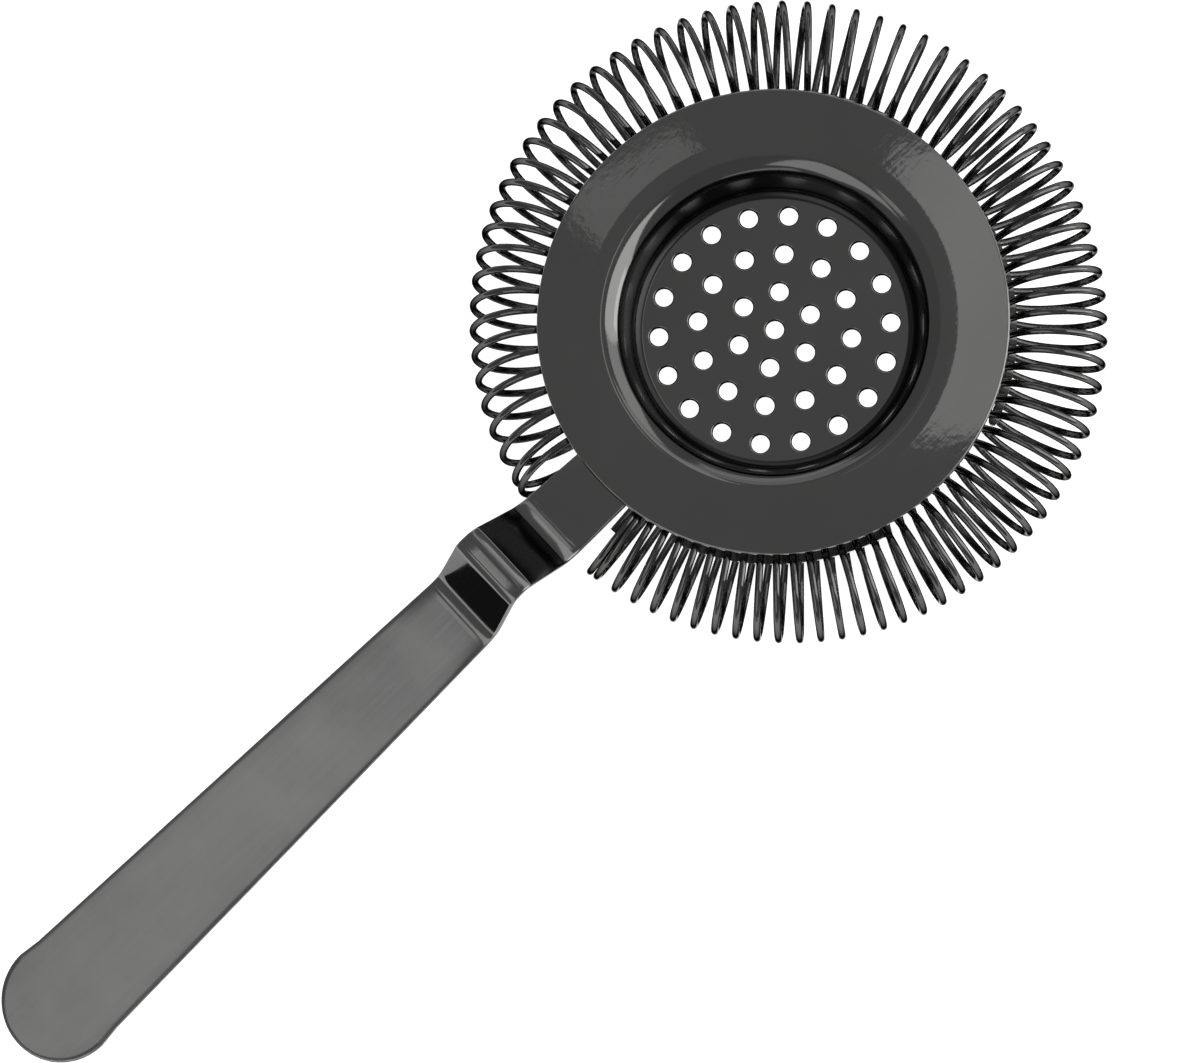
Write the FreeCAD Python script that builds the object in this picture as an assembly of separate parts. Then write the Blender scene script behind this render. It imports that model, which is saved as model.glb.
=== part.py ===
import FreeCAD, Part
import math
import os

# Hawthorne strainer, in millimetres.
# The origin is the centre of the flat flange, on its top face. The handle points along +X.
# The strainer stands on the bottom of its coil, with the handle's end just clear of the bench.

V = FreeCAD.Vector
UP = V(0, 0, 1)

# --- plate ---
SHEET = 1.0                 # thickness of the plate's sheet
FLANGE_RADIUS = 35.0
FLANGE_EDGE_ROUND = 0.35    # rounding of the flange's rim
DISH_RADIUS = 22.75          # where the dish's wall would meet the flange without a shoulder
DISH_FLOOR_RADIUS = 21.0    # where the dish's wall would meet its floor without a fillet
DISH_DEPTH = 8.0
SHOULDER_ROUND = 3.7        # on the sheet's top face
FLOOR_ROUND = 1.6           # on the sheet's top face
HOLE_DIAMETER = 2.75
HOLE_PITCH = 5.8            # from ring to ring
HOLE_RINGS = 3
HOLE_ANGLE = -140.0         # every ring has a hole in this direction
HOLE_BEVEL = 0.2            # width of the small bevel round each hole

# --- coil spring ---
WIRE_RADIUS = 0.56
COIL_RADIUS = 7.85           # from the coil's middle to the middle of the wire
RING_RADIUS = 39.98         # of the ring that the coil is bent round
RING_SHIFT = -2.4           # the ring's centre lies this far from the plate's, away from the handle
RING_SIDE_SHIFT = -0.2      # and this far towards +Y
COIL_DROP = 10.0            # depth of the coil's middle below the flange's top face
OPEN_TURNS = 79
CLOSE_TURNS_START = 1.75    # turns wound tight at the coil's start
CLOSE_TURNS_END = 1.5       # and at its end
CLOSE_ANGLE_START = 1.45    # of the ring that one tight turn takes at the start
CLOSE_ANGLE_END = 2.15      # and at the end
START_SWING = 0.25          # part of a turn, past the outermost point, at which the wire starts
START_ANGLE = 8.2           # where the wire starts, anticlockwise from the handle
END_ANGLE = 350.9           # where it ends
TURN_GROWTH = 0.132          # the first open turns are this much closer than the average
RING_WAVES = ((2, 0.75, 72.4), (3, 0.12, 106.6))   # the ring isn't quite round: waves, height, crest
TURN_WAVES = ((2, 0.74, -3.3), (3, 0.52, -6.0))   # nor are the turns even: waves, degrees, start
WIRE_LEAN = 0.1             # how far the top of a turn leans along the ring
START_LEAN = 1.25           # how much further it leans at the coil's start
START_FADE = 10.7           # turns over which that fades away
START_REACH = 0.45          # the first turns also stand out this much further, and fade alike
END_LEAN = -0.75            # how much further the top of a turn leans at the coil's end
END_FADE = 14.8             # turns over which that fades away
WIRE_PUSH = 0.62             # how far the top of a turn leans away from the handle

# --- claws ---
CLAW_SHEET = 0.8
CLAWS = {"back_left": (48.0, 35.3), "front_left": (138.0, 36.1),
         "front_right": (223.0, 37.0), "back_right": (312.0, 35.3)}  # angle and reach
CLAW_ARM_RADIUS = 35.5      # of the arms' outer edge
CLAW_ARM_WIDTH = 1.4
CLAW_ARM_SWING = 26.5       # from the middle of the arms to each end, about the arms' own centre
CLAW_DEPTH = 8.6            # from the flange's top face to the arms' top face
CLAW_STEM_WIDTH = 0.6
CLAW_LEG_RADIUS = 29.8      # outer face of the upright leg
CLAW_FOOT_LENGTH = 4.0
CLAW_FOOT_WIDTH = 5.0

# --- handle ---
STRIP = 1.2                 # thickness
HANDLE_START = 26.5         # where the strip starts under the flange
HANDLE_END = 156.0
HANDLE_START_WIDTH = 10.1
HANDLE_TAPER = 0.0656       # growth in width per millimetre of length
HUMP_BASE_START = 45.8      # corners of the strip's top line, before they are rounded
HUMP_TOP_START = 53.4
HUMP_TOP_END = 56.8
HUMP_BASE_END = 62.2
HUMP_HEIGHT = 9.6           # above the strip's flat inner part
HUMP_FALL = 0.5             # the hump's top is this much lower at its outer end
HUMP_DROP = 1.2             # the grip starts this much lower than the inner part
GRIP_END_DEPTH = 14.2       # from the flange's top face to the strip's top face at its end
HUMP_BEND = 2.4             # bend radius on the strip's top line at the hump's crest
FOOT_BEND = 4.2             # bend radius on the strip's top line at the hump's foot
STRIP_EDGE_ROUND = 0.3

# --- worked out ---
STRIP_TOP = -SHEET
ALL_TURNS = CLOSE_TURNS_START + OPEN_TURNS + CLOSE_TURNS_END


def save(shape, name):
    """Write one named piece and print what it measures."""
    box = shape.optimalBoundingBox()
    shape.exportStep("parts/%s.step" % name)
    print("%-18s solids %d valid %s volume %.1f  x %.2f %.2f  y %.2f %.2f  z %.2f %.2f" % (
        name, len(shape.Solids), shape.isValid(), shape.Volume,
        box.XMin, box.XMax, box.YMin, box.YMax, box.ZMin, box.ZMax))


def polar(radius, degrees, z=0.0):
    angle = math.radians(degrees)
    return V(radius * math.cos(angle), radius * math.sin(angle), z)


def rounded_line(corners, radii):
    """Edges of an open line with each inner corner rounded to a tangent arc."""
    edges = []
    last = corners[0]
    for before, corner, after, radius in zip(corners, corners[1:], corners[2:], radii):
        back = (before - corner).normalize()
        ahead = (after - corner).normalize()
        half = back.getAngle(ahead) / 2
        reach = radius / math.tan(half)
        middle = corner + (back + ahead).normalize() * (radius / math.sin(half) - radius)
        start = corner + back * reach
        end = corner + ahead * reach
        edges.append(Part.LineSegment(last, start).toShape())
        edges.append(Part.Arc(start, middle, end).toShape())
        last = end
    edges.append(Part.LineSegment(last, corners[-1]).toShape())
    return edges


# --- the plate ---

def dish_profile(offset):
    """The sheet's top line (offset 0) or bottom line, from the axis out to the rim."""
    wall = V(DISH_RADIUS - DISH_FLOOR_RADIUS, 0, DISH_DEPTH)
    half_turn = wall.getAngle(V(1, 0, 0)) / 2
    slide = offset * math.tan(half_turn)
    corners = [V(0, 0, -DISH_DEPTH - offset),
               V(DISH_FLOOR_RADIUS + slide, 0, -DISH_DEPTH - offset),
               V(DISH_RADIUS + slide, 0, -offset),
               V(FLANGE_RADIUS, 0, -offset)]
    radii = [FLOOR_ROUND + offset, SHOULDER_ROUND - offset]
    return rounded_line(corners, radii)


def strainer_plate():
    top = dish_profile(0.0)
    bottom = dish_profile(SHEET)
    axis_edge = Part.LineSegment(V(0, 0, -DISH_DEPTH - SHEET), V(0, 0, -DISH_DEPTH)).toShape()
    rim_edge = Part.LineSegment(V(FLANGE_RADIUS, 0, 0), V(FLANGE_RADIUS, 0, -SHEET)).toShape()
    outline = Part.Wire(Part.__sortEdges__(top + bottom + [axis_edge, rim_edge]))
    plate = Part.Face(outline).revolve(V(0, 0, 0), UP, 360)
    rims = [edge for edge in plate.Edges
            if edge.Closed and abs(edge.BoundBox.XMax - FLANGE_RADIUS) < 1e-4
            and edge.BoundBox.ZLength < 1e-4]
    plate = plate.makeFillet(FLANGE_EDGE_ROUND, rims)
    return plate.cut(Part.makeCompound(hole_cutters()))


def hole_cutters():
    """One cutter for each hole: a cylinder with a bevel at its top."""
    radius = HOLE_DIAMETER / 2
    top = -DISH_DEPTH
    cutters = []
    for ring in range(HOLE_RINGS + 1):
        count = max(1, 6 * ring)
        for index in range(count):
            centre = polar(ring * HOLE_PITCH, HOLE_ANGLE + 360.0 * index / count)
            shaft = Part.makeCylinder(radius, 3 * SHEET, centre + V(0, 0, top - 2 * SHEET), UP)
            bevel = Part.makeCone(radius, radius + 2 * HOLE_BEVEL, 2 * HOLE_BEVEL,
                                  centre + V(0, 0, top - HOLE_BEVEL), UP)
            cutters.append(shaft.fuse(bevel))
    return cutters


# --- the handle ---

def handle():
    """A strip bent along its length, cut to a tapered outline with a round end."""
    end_radius = handle_width(HANDLE_END) / 2
    corners = [V(HANDLE_START, 0, STRIP_TOP),
               V(HUMP_BASE_START, 0, STRIP_TOP),
               V(HUMP_TOP_START, 0, STRIP_TOP + HUMP_HEIGHT),
               V(HUMP_TOP_END, 0, STRIP_TOP + HUMP_HEIGHT - HUMP_FALL),
               V(HUMP_BASE_END, 0, STRIP_TOP - HUMP_DROP),
               V(HANDLE_END, 0, -GRIP_END_DEPTH)]
    radii = [FOOT_BEND, HUMP_BEND, HUMP_BEND, FOOT_BEND]
    profile = strip_section(corners, radii)
    width = 3 * end_radius
    blank = profile.extrude(V(0, width, 0))
    blank.translate(V(0, -width / 2, 0))
    half_start = handle_width(HANDLE_START) / 2
    centre = HANDLE_END - end_radius
    half_end = handle_width(centre) / 2
    side = Part.makePolygon([V(centre, half_end, 0), V(HANDLE_START, half_start, 0),
                             V(HANDLE_START, -half_start, 0), V(centre, -half_end, 0)])
    tip = Part.Arc(V(centre, -half_end, 0), V(HANDLE_END, 0, 0), V(centre, half_end, 0)).toShape()
    outline = Part.Face(Part.Wire(side.Edges + [tip]))
    lowest = -GRIP_END_DEPTH - 2 * STRIP
    outline.translate(V(0, 0, lowest))
    strip = blank.common(outline.extrude(V(0, 0, HUMP_HEIGHT - lowest)))
    long_edges = [edge for edge in strip.Edges if is_side_edge(edge)]
    return strip.makeFillet(STRIP_EDGE_ROUND, long_edges)


def handle_width(x):
    return HANDLE_START_WIDTH + HANDLE_TAPER * (x - HANDLE_START)


def strip_section(corners, radii):
    """The strip seen from its side: its top line, and the same line one thickness lower."""
    lows = [corners[0] + V(0, 0, -STRIP)]
    low_radii = []
    for before, corner, after, radius in zip(corners, corners[1:], corners[2:], radii):
        first = (corner - before).normalize().cross(V(0, 1, 0))
        second = (after - corner).normalize().cross(V(0, 1, 0))
        lows.append(corner - (first + second) * (STRIP / (1 + first.dot(second))))
        bends_down = first.x < second.x
        low_radii.append(radius - STRIP if bends_down else radius + STRIP)
    lows.append(corners[-1] - (corners[-1] - corners[-2]).normalize().cross(V(0, 1, 0)) * STRIP)
    top = rounded_line(corners, radii)
    bottom = rounded_line(lows, low_radii)
    ends = [Part.LineSegment(corners[0], lows[0]).toShape(),
            Part.LineSegment(corners[-1], lows[-1]).toShape()]
    return Part.Face(Part.Wire(Part.__sortEdges__(top + bottom + ends)))


def is_side_edge(edge):
    """True for the edges that run along the strip, not through its thickness."""
    middle = edge.valueAt((edge.FirstParameter + edge.LastParameter) / 2)
    if middle.x < HANDLE_START + 0.1:
        return False
    return edge.Length > 1.5 * STRIP


# --- the claws ---

def claw(near_angle, reach):
    """A foot under the flange, a leg down, and a stem out to two arms inside the coil."""
    foot = Part.makeBox(CLAW_FOOT_LENGTH, CLAW_FOOT_WIDTH, CLAW_SHEET)
    foot.translate(V(CLAW_LEG_RADIUS - CLAW_FOOT_LENGTH, -CLAW_FOOT_WIDTH / 2, -SHEET - CLAW_SHEET))
    leg_length = CLAW_DEPTH + CLAW_SHEET - SHEET
    leg_inner = CLAW_LEG_RADIUS - CLAW_SHEET
    leg = Part.makeBox(CLAW_SHEET, CLAW_STEM_WIDTH, leg_length)
    leg.translate(V(leg_inner, -CLAW_STEM_WIDTH / 2, -SHEET - leg_length))
    stem = Part.makeBox(reach - CLAW_ARM_WIDTH / 2 - leg_inner, CLAW_STEM_WIDTH, CLAW_SHEET)
    stem.translate(V(leg_inner, -CLAW_STEM_WIDTH / 2, -CLAW_DEPTH - CLAW_SHEET))
    shape = foot.fuse([leg, stem, claw_arms(reach)]).removeSplitter()
    shape.rotate(V(0, 0, 0), UP, gap_angle(near_angle))
    return shape


def claw_arms(reach):
    """A flat band bent to an arc, with round ends."""
    centre = V(reach - CLAW_ARM_RADIUS, 0, -CLAW_DEPTH - CLAW_SHEET)
    outer = CLAW_ARM_RADIUS
    inner = CLAW_ARM_RADIUS - CLAW_ARM_WIDTH
    middle = (outer + inner) / 2
    end = CLAW_ARM_SWING
    tip = end + math.degrees(CLAW_ARM_WIDTH / 2 / middle)
    stations = [[(outer, -end), (outer, 0), (outer, end)],
                [(outer, end), (middle, tip), (inner, end)],
                [(inner, end), (inner, 0), (inner, -end)],
                [(inner, -end), (middle, -tip), (outer, -end)]]
    edges = []
    for station in stations:
        first, second, third = [centre + polar(radius, angle) for radius, angle in station]
        edges.append(Part.Arc(first, second, third).toShape())
    return Part.Face(Part.Wire(edges)).extrude(V(0, 0, CLAW_SHEET))


def gap_angle(near_angle):
    """The angle nearest to this one that lies midway between two turns, at the stem's height."""
    climb = COIL_DROP - CLAW_DEPTH - CLAW_SHEET / 2
    later = math.asin(climb / COIL_RADIUS) / (2 * math.pi)
    angles = []
    for turn in range(int(ALL_TURNS)):
        point = coil_point(turn + 0.5 - START_SWING + later)
        angles.append(math.degrees(math.atan2(point.y, point.x)) % 360)
    gaps = [(first + second) / 2 for first, second in zip(angles, angles[1:])]
    return min(gaps, key=lambda gap: abs(gap - near_angle))


# --- the spring ---

def coil_point(turn):
    """The middle of the wire after so many turns from the start of the coil."""
    swing = -2 * math.pi * (turn + START_SWING)
    ring_angle = ring_angle_at(turn)
    near_start = max(0, 1 - turn / START_FADE)
    near_end = max(0, 1 - (ALL_TURNS - turn) / END_FADE)
    radius = RING_RADIUS + COIL_RADIUS * math.cos(swing) + START_REACH * near_start
    for count, height, crest in RING_WAVES:
        radius += height * math.cos(count * math.radians(ring_angle - crest))
    top_lean = WIRE_LEAN + START_LEAN * near_start + END_LEAN * near_end
    lean = math.degrees(top_lean * math.sin(swing) / radius)
    point = polar(radius, ring_angle + lean, COIL_RADIUS * math.sin(swing) - COIL_DROP)
    return point + V(RING_SHIFT - WIRE_PUSH * math.sin(swing), RING_SIDE_SHIFT, 0)


def ring_angle_at(turn):
    """Tight turns at both ends, and between them open turns that slowly spread."""
    open_start = START_ANGLE + CLOSE_TURNS_START * CLOSE_ANGLE_START
    open_end = END_ANGLE - CLOSE_TURNS_END * CLOSE_ANGLE_END
    if turn < CLOSE_TURNS_START:
        return START_ANGLE + turn * CLOSE_ANGLE_START
    if turn > ALL_TURNS - CLOSE_TURNS_END:
        return END_ANGLE - (ALL_TURNS - turn) * CLOSE_ANGLE_END
    share = (turn - CLOSE_TURNS_START) / OPEN_TURNS
    span = open_end - open_start
    even = span * share * (1 + TURN_GROWTH * (share - 1))
    uneven = turn_wave(span * share) - (1 - share) * turn_wave(0) - share * turn_wave(span)
    return open_start + even + uneven


def turn_wave(angle):
    """How far the turns are bunched along the ring at this angle into the open part."""
    total = 0
    for count, degrees, start in TURN_WAVES:
        total += degrees * math.sin(count * math.radians(angle - start))
    return total


def two_arcs(start, start_way, end, end_way):
    """Two arcs that leave start and reach end along the given unit directions."""
    gap = end - start
    ways = start_way + end_way
    a = 2 * (1 - start_way.dot(end_way))
    b = 2 * gap.dot(ways)
    c = -gap.dot(gap)
    reach = (-b + math.sqrt(b * b - 4 * a * c)) / (2 * a)
    middle = (start + start_way * reach + end - end_way * reach) * 0.5
    return [arc_from(start, start_way, middle), arc_from(end, end_way * -1, middle).reversed()]


def arc_from(start, way, end):
    """The arc from start to end that leaves start along way."""
    chord = end - start
    side = chord - way * chord.dot(way)
    radius = chord.dot(chord) / (2 * side.Length)
    centre = start + side.normalize() * radius
    to_middle = ((start + end) * 0.5 - centre).normalize()
    return Part.Arc(start, centre + to_middle * radius, end).toShape()


def coil_path():
    steps_per_turn = 4
    count = round(ALL_TURNS * steps_per_turn)
    edges = []
    for index in range(count):
        first = index / steps_per_turn
        second = (index + 1) / steps_per_turn
        edges += two_arcs(coil_point(first), coil_way(first), coil_point(second), coil_way(second))
    return Part.Wire(edges)


def coil_way(turn):
    """The direction in which the wire runs at this turn."""
    step = 0.001
    return (coil_point(turn + step) - coil_point(turn - step)).normalize()


def coil_spring():
    path = coil_path()
    section = Part.Wire([Part.Circle(coil_point(0), coil_way(0), WIRE_RADIUS).toShape()])
    wire = path.makePipeShell([section], True, True)
    expected = path.Length * math.pi * WIRE_RADIUS ** 2
    print("spring wire length %.0f, volume is %.4f of section times length" % (
        path.Length, wire.Volume / expected))
    return wire


os.makedirs("parts", exist_ok=True)
save(strainer_plate(), "strainer_plate")
save(handle(), "handle")
for place, (angle, reach) in CLAWS.items():
    save(claw(angle, reach), "claw_" + place)
save(coil_spring(), "coil_spring")
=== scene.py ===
import math

import bmesh
import bpy
from mathutils import Matrix, Vector


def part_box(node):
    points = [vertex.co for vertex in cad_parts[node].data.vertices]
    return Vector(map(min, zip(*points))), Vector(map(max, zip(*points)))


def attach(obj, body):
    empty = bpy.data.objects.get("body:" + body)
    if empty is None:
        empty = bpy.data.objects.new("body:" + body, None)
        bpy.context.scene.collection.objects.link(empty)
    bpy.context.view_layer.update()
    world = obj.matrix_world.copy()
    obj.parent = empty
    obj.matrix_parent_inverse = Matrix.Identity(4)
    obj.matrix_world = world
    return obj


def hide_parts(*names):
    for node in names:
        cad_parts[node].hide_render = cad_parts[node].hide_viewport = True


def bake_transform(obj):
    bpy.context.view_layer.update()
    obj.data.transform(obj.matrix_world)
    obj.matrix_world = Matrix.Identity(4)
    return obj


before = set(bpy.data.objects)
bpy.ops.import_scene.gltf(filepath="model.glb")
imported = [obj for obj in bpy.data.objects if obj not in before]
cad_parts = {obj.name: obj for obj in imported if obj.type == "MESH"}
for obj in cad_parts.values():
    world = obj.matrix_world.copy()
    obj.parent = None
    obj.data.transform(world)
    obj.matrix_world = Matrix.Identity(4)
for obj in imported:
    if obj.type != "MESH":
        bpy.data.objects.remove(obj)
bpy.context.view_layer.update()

MM = 0.001

# --- places taken from the frame ---
_, PLATE_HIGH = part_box("strainer_plate")
HANDLE_LOW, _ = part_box("handle")
COIL_LOW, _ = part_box("coil_spring")
PLATE_RADIUS = PLATE_HIGH[0]
HANDLE_START = HANDLE_LOW[0]
TABLE = COIL_LOW[2]
CLAW_NODES = [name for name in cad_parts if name.startswith("claw_")]

# --- plate, as in the design; the flange's top is at height 0 ---
SHEET = 1.0 * MM
RIM_ROUND = 0.35 * MM
DISH_RADIUS = 22.75 * MM
DISH_FLOOR_RADIUS = 21.0 * MM
DISH_DEPTH = 8.0 * MM
SHOULDER_ROUND = 3.7 * MM
FLOOR_ROUND = 1.6 * MM
FLANGE_BEND = 27.6 * MM                 # outside this radius the flange leans down a touch
FLANGE_BEND_ROUND = 28 * MM
FLANGE_DROP = 0.155 * MM
HOLE_RADIUS = 1.375 * MM
HOLE_PITCH = 5.8 * MM
HOLE_RINGS = 3
HOLE_ANGLE = math.radians(-140)
HOLE_LIP = 0.32 * MM

# --- where the plate's surface changes, and where shade is painted on it ---
BORE_SHARE = 0.45                       # this share of a hole's lip gets the same painted shade as the hole's wall
LIP_SHARE = 0.9                         # and out to this share, bare metal shows through
LIP_WEAR = 0.3
WALL_START = 1.4 * MM                   # the dish's wall is dull and painted darker, as shade, from this depth
WALL_END = 0.02 * MM                    # to this height above the dish's floor
SHOULDER_END = 25.0 * MM                # the shoulder above it is a little dull and a little darker with painted shade, out to this radius
SHOULDER_SHADE_AND_DULL = 0.3

# --- handle, as in the design ---
STRIP = 1.2 * MM
STRIP_ROUND = 0.32 * MM
CROWN = 0.10 * MM                       # how far the strip's top falls away towards its sides
CROWN_WIDTH = 2.6 * MM
CROWN_FADE_START = 60 * MM
CROWN_FADE = 9 * MM
CROWN_LOST = 0.85                       # the share of the crown that is gone on the grip
STRIP_WEAR = 0.35
HANDLE_START_WIDTH = 10.1 * MM
HANDLE_TAPER = 0.0656
HANDLE_END = 156.0 * MM
GRIP_END_DEPTH = 14.2 * MM
HUMP_CORNERS = [(45.8, 0.0), (53.4, 9.6), (56.8, 9.1), (62.2, -1.2)]  # mm, from the flange's underside
HUMP_RADII = [4.2, 2.4, 2.4, 4.2]

# --- spring, as in the design; angles are in degrees, from the handle round the ring ---
WIRE_RADIUS = 0.56 * MM
COIL_RADIUS = 7.85 * MM
RING_RADIUS = 39.98 * MM
RING_SHIFT = -2.4 * MM
RING_SIDE_SHIFT = -0.2 * MM
COIL_DROP = 10.0 * MM
OPEN_TURNS = 79
CLOSE_TURNS_START = 1.75
CLOSE_TURNS_END = 1.5
CLOSE_ANGLE_START = 1.45                # from one closed turn to the next
CLOSE_ANGLE_END = 2.15
ALL_TURNS = CLOSE_TURNS_START + OPEN_TURNS + CLOSE_TURNS_END
START_SWING = 0.25                      # the share of a turn at which the wire starts
START_ANGLE = 8.2
END_ANGLE = 350.9
TURN_GROWTH = 0.132                     # how much the open turns spread along the ring
RING_WAVES = ((2, 0.75 * MM, 72.4), (3, 0.12 * MM, 106.6))  # waves round the ring, height, crest
TURN_WAVES = ((2, 0.74, -3.3), (3, 0.52, -6.0))             # waves round the ring, degrees, start
WIRE_LEAN = 0.1 * MM                    # how far a turn's top lies ahead of its bottom
START_LEAN = 1.25 * MM
START_FADE = 10.7                       # turns over which the start's lean and reach die away
START_REACH = 0.45 * MM
END_LEAN = -0.75 * MM
END_FADE = 14.8
WIRE_PUSH = 0.62 * MM                   # how far a turn's top lies to the front, and its bottom back

# --- claws ---
CLAW_EDGE_ROUND = 0.2 * MM
CLAW_EDGE_STEPS = 3
CLAW_SHARP_ANGLE = 40

# --- how fine the meshes are, and above which angle in degrees an edge stays sharp ---
AROUND_PLATE = 288
AROUND_HOLE = 40
PLATE_BEND_STEPS = 14
RIM_STEPS = 6
LIP_STEPS = 5
HANDLE_BEND_STEPS = 16
GRIP_STEPS = 24
GRIP_END_STEPS = 20
CROWN_STEPS = 5
STRIP_EDGE_STEPS = 5
STEPS_PER_TURN = 44
AROUND_WIRE = 12
SHARP_ANGLE = 35
PLATE_SHARP_ANGLE = 32
WIRE_SHARP_ANGLE = 60
FLAT_FACE_WEIGHT = 80
TINY = 1e-9                             # metres, for a point that falls on a corner of a line


# ---------------------------------------------------------------- meshes

def new_object(name, verts, faces, angle=SHARP_ANGLE):
    mesh = bpy.data.meshes.new(name)
    mesh.from_pydata(verts, [], faces)
    mesh.validate()
    smooth(mesh, angle)
    obj = bpy.data.objects.new(name, mesh)
    bpy.context.scene.collection.objects.link(obj)
    return obj


def smooth(mesh, angle):
    mesh.polygons.foreach_set("use_smooth", [True] * len(mesh.polygons))
    mesh.set_sharp_from_angle(angle=math.radians(angle))


def set_amount(obj, name, amounts):
    """Store a number from 0 to 1 at each vertex, for the material to read by name."""
    obj.data.attributes.new(name, "FLOAT", "POINT").data.foreach_set("value", amounts)


def fix_normals(obj):
    work = bmesh.new()
    work.from_mesh(obj.data)
    bmesh.ops.recalc_face_normals(work, faces=work.faces)
    work.to_mesh(obj.data)
    work.free()


def apply_modifiers(obj):
    graph = bpy.context.evaluated_depsgraph_get()
    done = bpy.data.meshes.new_from_object(obj.evaluated_get(graph))
    obj.modifiers.clear()
    old = obj.data
    obj.data = done
    bpy.data.meshes.remove(old)


def shade_flat_faces_flat(obj):
    """Round edges take the shading of the flat faces beside them."""
    weigh = obj.modifiers.new("flat faces first", "WEIGHTED_NORMAL")
    weigh.keep_sharp = True
    return weigh


def band(first, second):
    """The faces between two closed rows of as many points."""
    count = len(first)
    faces = []
    for index in range(count):
        after = (index + 1) % count
        faces.append([first[index], first[after], second[after], second[index]])
    return faces


def quarter(steps):
    """Angles over a quarter turn, from 0."""
    return [math.pi / 2 * step / steps for step in range(steps + 1)]


def rounded_line(corners, radii, steps):
    """Points along an open line in a plane, with each inner corner rounded to an arc."""
    points = [Vector(corners[0])]
    for before, corner, after, radius in zip(corners, corners[1:], corners[2:], radii):
        corner = Vector(corner)
        back = (Vector(before) - corner).normalized()
        ahead = (Vector(after) - corner).normalized()
        half = back.angle(ahead) / 2
        centre = corner + (back + ahead).normalized() * (radius / math.sin(half))
        start = corner + back * (radius / math.tan(half)) - centre
        end = corner + ahead * (radius / math.tan(half)) - centre
        turn = start.angle(end)
        for step in range(steps + 1):
            share = step / steps
            start_weight = math.sin((1 - share) * turn) / math.sin(turn)
            end_weight = math.sin(share * turn) / math.sin(turn)
            points.append(centre + start * start_weight + end * end_weight)
    points.append(Vector(corners[-1]))
    return points


def lathe(name, profile, count):
    """A solid of revolution about Z; each end of the profile is closed by one flat face."""
    verts = []
    rows = []
    for radius, height in profile:
        rows.append(list(range(len(verts), len(verts) + count)))
        for index in range(count):
            angle = 2 * math.pi * index / count
            verts.append((radius * math.cos(angle), radius * math.sin(angle), height))
    faces = []
    for first, second in zip(rows, rows[1:]):
        faces += band(first, second)
    faces.append(rows[0])
    faces.append(rows[-1][::-1])
    obj = new_object(name, verts, faces)
    fix_normals(obj)
    return obj


# ---------------------------------------------------------------- plate

def dish_line(offset):
    """The sheet's top line (offset 0) or bottom line, from the axis to the rim."""
    wall = Vector((DISH_RADIUS - DISH_FLOOR_RADIUS, DISH_DEPTH))
    slide = offset * math.tan(wall.angle(Vector((1, 0))) / 2)
    corners = [(0, -DISH_DEPTH - offset),
               (DISH_FLOOR_RADIUS + slide, -DISH_DEPTH - offset),
               (DISH_RADIUS + slide, -offset),
               (FLANGE_BEND, -offset),
               (PLATE_RADIUS, -offset - FLANGE_DROP)]
    radii = [FLOOR_ROUND + offset, SHOULDER_ROUND - offset, FLANGE_BEND_ROUND]
    return rounded_line(corners, radii, PLATE_BEND_STEPS)


def plate_profile():
    """Out along the sheet's top, round the rim and back in along its underside."""
    rim = []
    for angle in reversed(quarter(RIM_STEPS)):
        rim.append((PLATE_RADIUS - RIM_ROUND + RIM_ROUND * math.cos(angle),
                    -FLANGE_DROP - RIM_ROUND + RIM_ROUND * math.sin(angle)))
    low_rim = [(radius, -SHEET - 2 * FLANGE_DROP - height) for radius, height in reversed(rim)]
    top = dish_line(0)[1:-1]
    bottom = dish_line(SHEET)[1:-1]
    return top + rim + low_rim + bottom[::-1]


def hole_centres():
    centres = []
    for ring in range(HOLE_RINGS + 1):
        count = max(1, 6 * ring)
        for index in range(count):
            angle = HOLE_ANGLE + 2 * math.pi * index / count
            centres.append((ring * HOLE_PITCH * math.cos(angle), ring * HOLE_PITCH * math.sin(angle)))
    return centres


HOLE_CENTRES = hole_centres()


def drill_profile():
    """A shaft that flares out at both faces of the sheet."""
    top = -DISH_DEPTH
    line = [(HOLE_RADIUS + HOLE_LIP, top + SHEET)]
    for angle in quarter(LIP_STEPS):
        line.append((HOLE_RADIUS + HOLE_LIP * (1 - math.sin(angle)),
                     top - HOLE_LIP * (1 - math.cos(angle))))
    low = [(radius, 2 * top - SHEET - height) for radius, height in line]
    return line + low[::-1]


def hole_cutter():
    """All the drill shapes in one mesh."""
    profile = drill_profile()
    verts = []
    faces = []
    for centre in HOLE_CENTRES:
        rows = []
        for radius, height in profile:
            rows.append(list(range(len(verts), len(verts) + AROUND_HOLE)))
            for index in range(AROUND_HOLE):
                angle = 2 * math.pi * index / AROUND_HOLE
                verts.append((centre[0] + radius * math.cos(angle),
                              centre[1] + radius * math.sin(angle), height))
        for first, second in zip(rows, rows[1:]):
            faces += band(first, second)
        faces.append(rows[0])
        faces.append(rows[-1][::-1])
    cutter = new_object("drills", verts, faces)
    fix_normals(cutter)
    return cutter


def cut_holes(plate):
    cutter = hole_cutter()
    cut = plate.modifiers.new("holes", "BOOLEAN")
    cut.operation = "DIFFERENCE"
    cut.solver = "EXACT"
    cut.object = cutter
    apply_modifiers(plate)
    bpy.data.objects.remove(cutter)


def hole_gap(point):
    """How far a point lies from the axis of the nearest hole."""
    return min(math.hypot(point.x - x, point.y - y) for x, y in HOLE_CENTRES)


def plate_bore(point):
    """1 inside the holes and 0 elsewhere."""
    return 1.0 if hole_gap(point) < HOLE_RADIUS + HOLE_LIP * BORE_SHARE else 0.0


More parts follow.
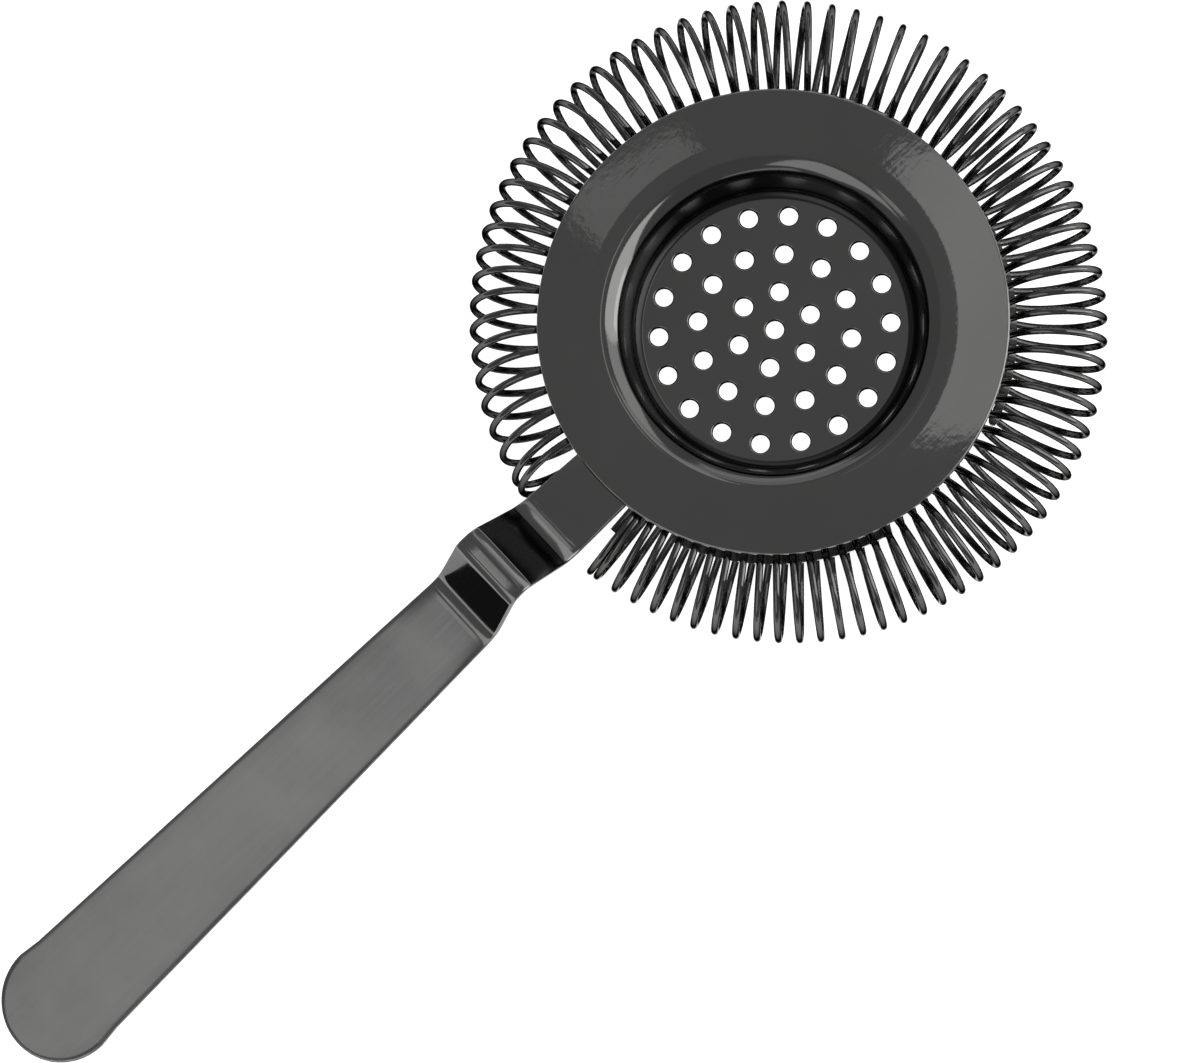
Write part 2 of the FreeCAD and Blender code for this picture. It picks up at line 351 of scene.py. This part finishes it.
def plate_wear(point):
    """Bare metal shows through a little on the lips of the holes."""
    inner = HOLE_RADIUS + HOLE_LIP * BORE_SHARE
    outer = HOLE_RADIUS + HOLE_LIP * LIP_SHARE
    return LIP_WEAR if inner < hole_gap(point) < outer else 0.0


def plate_painted_shade_and_dull(point):
    """The holes and the dish's wall are duller than the rest and painted darker as shade, and the dish's
    shoulder gets a little of both.
    """
    radius = math.hypot(point.x, point.y)
    depth = -point.z
    if radius > DISH_FLOOR_RADIUS - FLOOR_ROUND and WALL_START < depth < DISH_DEPTH - WALL_END:
        return 1.0
    if DISH_FLOOR_RADIUS < radius < SHOULDER_END and depth < WALL_START:
        return SHOULDER_SHADE_AND_DULL
    return plate_bore(point)


def plate_piece():
    plate = lathe("plate_disc", plate_profile(), AROUND_PLATE)
    cut_holes(plate)
    smooth(plate.data, PLATE_SHARP_ANGLE)
    for name, amount in (("wear", plate_wear), ("painted_shade_and_dull", plate_painted_shade_and_dull), ("bore", plate_bore)):
        set_amount(plate, name, [amount(vertex.co) for vertex in plate.data.vertices])
    shade_flat_faces_flat(plate).weight = FLAT_FACE_WEIGHT
    return plate


# ---------------------------------------------------------------- handle

def handle_half_width(x):
    return (HANDLE_START_WIDTH + HANDLE_TAPER * (x - HANDLE_START)) / 2


def handle_line():
    """The strip's top line as (x, z) points, with its bends rounded."""
    top = -SHEET
    corners = [(HANDLE_START, top)]
    corners += [(x * MM, top + rise * MM) for x, rise in HUMP_CORNERS]
    corners += [(HANDLE_END, -GRIP_END_DEPTH)]
    return rounded_line(corners, [radius * MM for radius in HUMP_RADII], HANDLE_BEND_STEPS)


def handle_stations(line, end_centre):
    """Where the strip gets a row of points: at every bend point and along the grip."""
    xs = [point[0] for point in line[:-1] if point[0] < end_centre]
    last = xs[-1]
    return xs + [last + (end_centre - last) * step / GRIP_STEPS for step in range(1, GRIP_STEPS + 1)]


def line_normals(line):
    normals = []
    for index in range(len(line)):
        before = line[max(index - 1, 0)]
        after = line[min(index + 1, len(line) - 1)]
        way = (after - before).normalized()
        normals.append(Vector((-way[1], way[0])))
    return normals


def place_on_strip(line, normals, x, y, depth):
    """A point this far below the strip's top face."""
    for index in range(len(line) - 1):
        if x <= line[index + 1][0] + TINY:
            break
    share = (x - line[index][0]) / (line[index + 1][0] - line[index][0])
    share = min(max(share, 0), 1)
    point = line[index].lerp(line[index + 1], share)
    normal = normals[index].lerp(normals[index + 1], share).normalized()
    return (point[0] - normal[0] * depth, y, point[1] - normal[1] * depth)


def crown_at(x):
    """The crown is full over the hump and mostly fades out on the grip."""
    faded = min(max((x - CROWN_FADE_START) / CROWN_FADE, 0), 1)
    return CROWN * (1 - CROWN_LOST * faded)


def strip_edge():
    """The strip's half section as (inset from the side, depth, share of the crown) rows, top to bottom."""
    rows = []
    for step in range(CROWN_STEPS):
        share = step / CROWN_STEPS
        rows.append((STRIP_ROUND + CROWN_WIDTH * (1 - share), 0, share * share))
    turned = []
    for angle in quarter(STRIP_EDGE_STEPS):
        turned.append((STRIP_ROUND * (1 - math.sin(angle)), STRIP_ROUND * (1 - math.cos(angle))))
    rows += [(inset, depth, 1) for inset, depth in turned]
    rows += [(inset, STRIP - depth, 0) for inset, depth in reversed(turned)]
    return rows


def strip_outline(xs, end_centre, inset):
    """The strip's outline from above, this far inside its true one."""
    side = [(xs[0] + inset, handle_half_width(xs[0]) - inset)]
    side += [(x, handle_half_width(x) - inset) for x in xs[1:-1]]
    end_radius = HANDLE_END - end_centre - inset
    tip = [(end_centre + end_radius * math.cos(angle), end_radius * math.sin(angle))
           for angle in reversed(quarter(GRIP_END_STEPS))]
    other_side = [(x, -y) for x, y in reversed(side + tip[:-1])]
    return side + tip + other_side


def strip_cover(loop):
    """The faces across the strip, between the two halves of an outline."""
    count = len(loop)
    faces = []
    for index in range(count // 2):
        face = [loop[index], loop[index + 1], loop[count - 2 - index], loop[count - 1 - index]]
        faces.append(list(dict.fromkeys(face)))
    return faces


def handle_piece():
    line = handle_line()
    normals = line_normals(line)
    end_centre = HANDLE_END - handle_half_width(HANDLE_END)
    xs = handle_stations(line, end_centre)
    verts = []
    loops = []
    for inset, depth, fall in strip_edge():
        ring = strip_outline(xs, end_centre, inset)
        loops.append(list(range(len(verts), len(verts) + len(ring))))
        verts += [place_on_strip(line, normals, x, y, depth + fall * crown_at(x)) for x, y in ring]
    faces = []
    for first, second in zip(loops, loops[1:]):
        faces += band(first, second)
    faces += strip_cover(loops[0]) + strip_cover(loops[-1])
    strip = new_object("handle_strip", verts, faces)
    wear = []
    for index, loop in enumerate(loops):
        on_edge = CROWN_STEPS < index < len(loops) - 1
        wear += [STRIP_WEAR if on_edge else 0.0] * len(loop)
    set_amount(strip, "wear", wear)
    fix_normals(strip)
    shade_flat_faces_flat(strip)
    return strip


# ---------------------------------------------------------------- spring

def turn_wave(angle):
    total = 0
    for count, degrees, start in TURN_WAVES:
        total += degrees * math.sin(count * math.radians(angle - start))
    return total


def ring_angle_at(turn):
    """Closed turns at both ends, and between them open turns that slowly spread; in degrees."""
    open_start = START_ANGLE + CLOSE_TURNS_START * CLOSE_ANGLE_START
    open_end = END_ANGLE - CLOSE_TURNS_END * CLOSE_ANGLE_END
    if turn < CLOSE_TURNS_START:
        return START_ANGLE + turn * CLOSE_ANGLE_START
    if turn > ALL_TURNS - CLOSE_TURNS_END:
        return END_ANGLE - (ALL_TURNS - turn) * CLOSE_ANGLE_END
    share = (turn - CLOSE_TURNS_START) / OPEN_TURNS
    span = open_end - open_start
    even = span * share * (1 + TURN_GROWTH * (share - 1))
    uneven = turn_wave(span * share) - (1 - share) * turn_wave(0) - share * turn_wave(span)
    return open_start + even + uneven


def coil_point(turn):
    """The wire's centre, this many turns from its start."""
    swing = -2 * math.pi * (turn + START_SWING)
    ring_angle = ring_angle_at(turn)
    near_start = max(0, 1 - turn / START_FADE)
    near_end = max(0, 1 - (ALL_TURNS - turn) / END_FADE)
    radius = RING_RADIUS + COIL_RADIUS * math.cos(swing) + START_REACH * near_start
    for count, height, crest in RING_WAVES:
        radius += height * math.cos(count * math.radians(ring_angle - crest))
    top_lean = WIRE_LEAN + START_LEAN * near_start + END_LEAN * near_end
    angle = math.radians(ring_angle) + top_lean * math.sin(swing) / radius
    return Vector((radius * math.cos(angle) + RING_SHIFT - WIRE_PUSH * math.sin(swing),
                   radius * math.sin(angle) + RING_SIDE_SHIFT,
                   COIL_RADIUS * math.sin(swing) - COIL_DROP))


def spring_piece():
    count = round(ALL_TURNS * STEPS_PER_TURN)
    points = [coil_point(ALL_TURNS * index / count) for index in range(count + 1)]
    verts = []
    rows = []
    side = Vector((0, 0, 1)).cross(points[1] - points[0]).normalized()
    for index, point in enumerate(points):
        before = points[max(index - 1, 0)]
        after = points[min(index + 1, count)]
        way = (after - before).normalized()
        side = (side - way * side.dot(way)).normalized()
        other = way.cross(side)
        rows.append(list(range(len(verts), len(verts) + AROUND_WIRE)))
        for step in range(AROUND_WIRE):
            angle = 2 * math.pi * step / AROUND_WIRE
            verts.append(point + (side * math.cos(angle) + other * math.sin(angle)) * WIRE_RADIUS)
    faces = []
    for first, second in zip(rows, rows[1:]):
        faces += band(first, second)
    faces.append(rows[0][::-1])
    faces.append(rows[-1])
    return new_object("spring_wire", verts, faces, WIRE_SHARP_ANGLE)


# ---------------------------------------------------------------- materials

MIX_FIRST, MIX_SECOND, MIX_RESULT = 6, 7, 2     # a Mix node's sockets for colours
GRAIN_SCALE = (14, 300, 14)
RING_SCALE = (12, 12, 1500)
WAVE_HEIGHT = 3e-5
PEEL_HEIGHT = 2.2e-6
RING_HEIGHT = 6e-6
GRAIN_HEIGHT = 1e-6
COATING_WARMTH = 0.01
PAINTED_SHADE_SHARE = 0.22                      # how much of the dark tone is left where shade is painted
DULL_ROUGHNESS = 0.20
WORN_SHARE = 2.0                        # bare metal is this much lighter than the light tone
# painted shade: the edge tint inside the holes, so low that their walls reflect almost nothing
BORE_SHADE_TINT = 0.04
FLOOR_TONES = (0.93, 0.96)
FLOOR_ROUGHNESS = 0.75
FLOOR_SHINE = 0.2
FLOOR_GLOW = 0.95


class Look:
    """A small helper that adds nodes to one material."""

    def __init__(self, name):
        self.material = bpy.data.materials.new(name)
        self.material.use_nodes = True
        self.nodes = self.material.node_tree.nodes
        self.links = self.material.node_tree.links
        self.shader = self.nodes["Principled BSDF"]

    def add(self, kind, **values):
        node = self.nodes.new(kind)
        for key, value in values.items():
            setattr(node, key, value)
        return node

    def feed(self, value, socket):
        """Link another node's output to a socket, or set the socket to a number or a colour."""
        if isinstance(value, bpy.types.NodeSocket):
            self.links.new(value, socket)
        else:
            socket.default_value = value

    def coords(self, scale=(1, 1, 1), turn=0.0):
        mapping = self.add("ShaderNodeMapping")
        self.feed(self.add("ShaderNodeTexCoord").outputs["Object"], mapping.inputs["Vector"])
        self.feed(scale, mapping.inputs["Scale"])
        self.feed((0, 0, turn), mapping.inputs["Rotation"])
        return mapping.outputs["Vector"]

    def amount(self, name):
        return self.add("ShaderNodeAttribute", attribute_name=name).outputs["Fac"]

    def noise(self, vector, scale, detail):
        node = self.add("ShaderNodeTexNoise")
        self.feed(vector, node.inputs["Vector"])
        self.feed(scale, node.inputs["Scale"])
        self.feed(detail, node.inputs["Detail"])
        return node.outputs["Fac"]

    def spread(self, value, low, high, start=0.3, end=0.7):
        node = self.add("ShaderNodeMapRange")
        self.feed(value, node.inputs["Value"])
        self.feed(start, node.inputs["From Min"])
        self.feed(end, node.inputs["From Max"])
        self.feed(low, node.inputs["To Min"])
        self.feed(high, node.inputs["To Max"])
        return node.outputs["Result"]

    def mix(self, share, first, second):
        node = self.add("ShaderNodeMix", data_type="RGBA")
        self.feed(share, node.inputs["Factor"])
        self.feed(first, node.inputs[MIX_FIRST])
        self.feed(second, node.inputs[MIX_SECOND])
        return node.outputs[MIX_RESULT]

    def math(self, operation, *values):
        node = self.add("ShaderNodeMath", operation=operation)
        for value, socket in zip(values, node.inputs):
            self.feed(value, socket)
        return node.outputs["Value"]

    def bump(self, height, distance, under=None):
        node = self.add("ShaderNodeBump")
        self.feed(height, node.inputs["Height"])
        self.feed(distance, node.inputs["Distance"])
        if under is not None:
            self.feed(under, node.inputs["Normal"])
        return node.outputs["Normal"]


def grey(value, warm=0.0):
    return (value * (1 + warm), value, value * (1 - warm), 1)


def coating_colour(look, plain, dark, light):
    """A clouded dark tone, darker still where shade is painted on the dish's wall, in the holes and a
    little on the shoulder, and lighter where it is worn.
    """
    cloud = look.spread(look.noise(plain, scale=55, detail=4), low=0, high=1)
    base = look.mix(cloud, grey(dark, COATING_WARMTH), grey(light, COATING_WARMTH))
    # painted shade: the mask darkens the coat on the dish's wall, in the holes and a little on the shoulder
    coat_with_painted_shade = look.mix(look.amount("painted_shade_and_dull"), base, grey(dark * PAINTED_SHADE_SHARE, COATING_WARMTH))
    scuff = look.spread(look.noise(plain, scale=700, detail=3), low=0.15, high=1.0, start=0.35, end=0.65)
    worn = look.math("MULTIPLY", look.amount("wear"), scuff)
    colour = look.mix(worn, coat_with_painted_shade, grey(light * WORN_SHARE, COATING_WARMTH))
    look.feed(colour, look.shader.inputs["Base Color"])


def coating_roughness(look, plain, streak, rough):
    smear = look.spread(look.noise(plain, scale=130, detail=5), low=rough * 0.8, high=rough * 1.3)
    total = look.math("ADD", look.spread(streak, low=0, high=rough * 0.3), smear)
    dulled = look.math("MULTIPLY_ADD", look.amount("painted_shade_and_dull"), DULL_ROUGHNESS, total)
    look.feed(dulled, look.shader.inputs["Roughness"])


def coating_relief(look, plain, streak, grain, ripple, ring):
    """Slow waves, a fine peel, rings at even heights and brushed grain, each on top of the last."""
    wave = look.bump(look.noise(plain, scale=60, detail=1), WAVE_HEIGHT * ripple)
    peel = look.bump(look.noise(plain, scale=650, detail=2), PEEL_HEIGHT * grain, wave)
    rings = look.bump(look.noise(look.coords(RING_SCALE), scale=1, detail=2), RING_HEIGHT * ring, peel)
    look.feed(look.bump(streak, GRAIN_HEIGHT * grain, rings), look.shader.inputs["Normal"])


def gunmetal(name, dark, light, rough, grain_turn=0.0, grain=0.5, ripple=1.0, edge_light=1.0, ring=0.0,
             paint_bore_shade=False):
    """A black coating on stainless steel: mirror-like, with faint grain, ripples and worn edges, painted
    shade where the mesh marks it, and, when asked, painted shade that dims the reflections inside the
    holes.
    """
    look = Look(name)
    look.feed(1.0, look.shader.inputs["Metallic"])
    plain = look.coords()
    streak = look.noise(look.coords(GRAIN_SCALE, grain_turn), scale=6, detail=3)
    coating_colour(look, plain, dark, light)
    coating_roughness(look, plain, streak, rough)
    coating_relief(look, plain, streak, grain, ripple, ring)
    tint = grey(edge_light)
    # painted shade: inside the holes the reflections are dimmed
    if paint_bore_shade:
        tint = look.mix(look.amount("bore"), tint, grey(BORE_SHADE_TINT))
    look.feed(tint, look.shader.inputs["Specular Tint"])
    return look.material


def floor_material():
    look = Look("pale_floor")
    cloud = look.noise(look.coords(), scale=9, detail=2)
    tone = look.mix(look.spread(cloud, low=0, high=1), grey(FLOOR_TONES[0]), grey(FLOOR_TONES[1]))
    look.feed(tone, look.shader.inputs["Base Color"])
    look.feed(tone, look.shader.inputs["Emission Color"])
    look.feed(FLOOR_ROUGHNESS, look.shader.inputs["Roughness"])
    look.feed(FLOOR_SHINE, look.shader.inputs["Specular IOR Level"])
    look.feed(FLOOR_GLOW, look.shader.inputs["Emission Strength"])
    return look.material


# ---------------------------------------------------------------- pieces

plate_metal = gunmetal("gunmetal_plate", dark=0.118, light=0.130, rough=0.035, grain_turn=0.6, grain=2.2,
                       edge_light=0.85, ring=1.0, paint_bore_shade=True)
handle_metal = gunmetal("gunmetal_handle", dark=0.118, light=0.130, rough=0.09, grain_turn=1.57, grain=0.15,
                        ripple=1.5, edge_light=0.5)
wire_metal = gunmetal("gunmetal_wire", dark=0.070, light=0.085, rough=0.07, grain=0.0, ripple=0.3,
                      edge_light=0.25)
# painted light: the claws' base is about two and a half times lighter than the plate's, standing in for
# light that the turns above keep off them
claw_metal_painted_light = gunmetal("gunmetal_claw", dark=0.26, light=0.32, rough=0.14)

plate = plate_piece()
plate.data.materials.clear()
plate.data.materials.append(plate_metal)
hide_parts("strainer_plate")
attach(plate, "root")

handle = handle_piece()
handle.data.materials.append(handle_metal)
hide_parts("handle")
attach(handle, "root")

spring = spring_piece()
spring.data.materials.append(wire_metal)
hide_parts("coil_spring")
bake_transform(spring)

for name in CLAW_NODES:
    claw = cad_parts[name]
    for holder in claw.material_slots:
        holder.material = claw_metal_painted_light
    bevel = claw.modifiers.new("soft edges", "BEVEL")
    bevel.width = CLAW_EDGE_ROUND
    bevel.segments = CLAW_EDGE_STEPS
    bevel.limit_method = "ANGLE"
    bevel.angle_limit = math.radians(CLAW_SHARP_ANGLE)


# ---------------------------------------------------------------- stage, light and camera

FLOOR_REACH = 3.0
WORLD_GREY = 0.41
CAMERA_DISTANCE = 0.597                 # from the lens to the plate's plane, along the view
CAMERA_TILT = math.radians(9.415)       # between the view and the plate's axis
NEAR_SIDE = math.radians(-56.27)        # the side of the view on which the plate comes nearer
HANDLE_TURN = math.radians(223.0)       # where the handle points in the view
PLATE_RIGHT = 25.40 * MM                # from the view's middle to the plate's centre
PLATE_UP = 31.31 * MM
VIEW_WIDTH = 177.148 * MM               # what the picture takes in at the plate
SENSOR_WIDTH = 36                       # mm


def view_to_world():
    """The turn from the camera's right, up and back axes to the frame's axes."""
    near = Vector((math.cos(NEAR_SIDE), math.sin(NEAR_SIDE), 0))
    across = Vector((-near.y, near.x, 0))
    turn = Matrix.Rotation(HANDLE_TURN, 3, "Z")
    tip = Matrix.Rotation(-CAMERA_TILT, 3, across)
    return (tip @ turn).transposed()


VIEW_TO_WORLD = view_to_world()


def add_floor():
    reach = FLOOR_REACH
    verts = [(-reach, -reach, TABLE), (reach, -reach, TABLE), (reach, reach, TABLE), (-reach, reach, TABLE)]
    floor = new_object("floor", verts, [[0, 1, 2, 3]])
    floor.data.materials.append(floor_material())


def add_camera():
    data = bpy.data.cameras.new("camera")
    data.sensor_width = SENSOR_WIDTH
    data.lens = SENSOR_WIDTH * CAMERA_DISTANCE / VIEW_WIDTH
    camera = bpy.data.objects.new("camera", data)
    bpy.context.scene.collection.objects.link(camera)
    offset = Vector((-PLATE_RIGHT, -PLATE_UP, CAMERA_DISTANCE))
    camera.matrix_world = Matrix.Translation(VIEW_TO_WORLD @ offset) @ VIEW_TO_WORLD.to_4x4()
    bpy.context.scene.camera = camera


def add_world():
    world = bpy.data.worlds.new("studio")
    world.use_nodes = True
    bpy.context.scene.world = world
    background = world.node_tree.nodes["Background"]
    background.inputs["Color"].default_value = grey(WORLD_GREY)
    background.inputs["Strength"].default_value = 1.0


def card(name, place, size, radiance, roll=0.0):
    """A soft light facing the plate. Its place is right of, above and in front of the plate in the view."""
    place = Vector(place)
    data = bpy.data.lights.new(name, "AREA")
    data.shape = "RECTANGLE"
    data.size, data.size_y = size
    data.energy = radiance * math.pi * size[0] * size[1]
    light = bpy.data.objects.new(name, data)
    bpy.context.scene.collection.objects.link(light)
    back = place.normalized()
    side = Vector((0, 1, 0)).cross(back).normalized()
    facing = Matrix((side, back.cross(side), back)).transposed()
    turn = VIEW_TO_WORLD @ facing @ Matrix.Rotation(math.radians(roll), 3, "Z")
    light.matrix_world = Matrix.Translation(VIEW_TO_WORLD @ place) @ turn.to_4x4()


add_floor()
add_camera()
add_world()
card("patch", (-0.043, 0.460, 1.30), (0.092, 0.225), 0.80)
card("faint", (-0.300, 0.560, 1.30), (0.11, 0.05), 0.38, 35)
card("right", (1.65, 0.10, 1.30), (2.60, 1.50), 2.9)
card("far_right", (2.90, 0.20, 0.75), (1.20, 1.30), 1.8)
card("far_up", (-0.30, 3.00, 0.70), (2.40, 0.90), 0.8)
card("far_down", (0.10, -3.20, 0.70), (2.00, 0.80), 0.7)
card("upper_right", (1.60, 1.50, 1.30), (2.20, 1.20), 1.4)
card("above", (0.20, 0.93, 1.25), (0.50, 0.42), 0.85, -45)
card("low", (-0.85, -1.10, 1.30), (1.20, 1.50), 1.3)
card("high", (-0.30, 1.85, 1.15), (1.50, 0.80), 0.6)
card("side", (-0.85, -0.09, 1.45), (0.50, 0.17), 1.12, 41)

bpy.context.scene.view_settings.view_transform = "Standard"
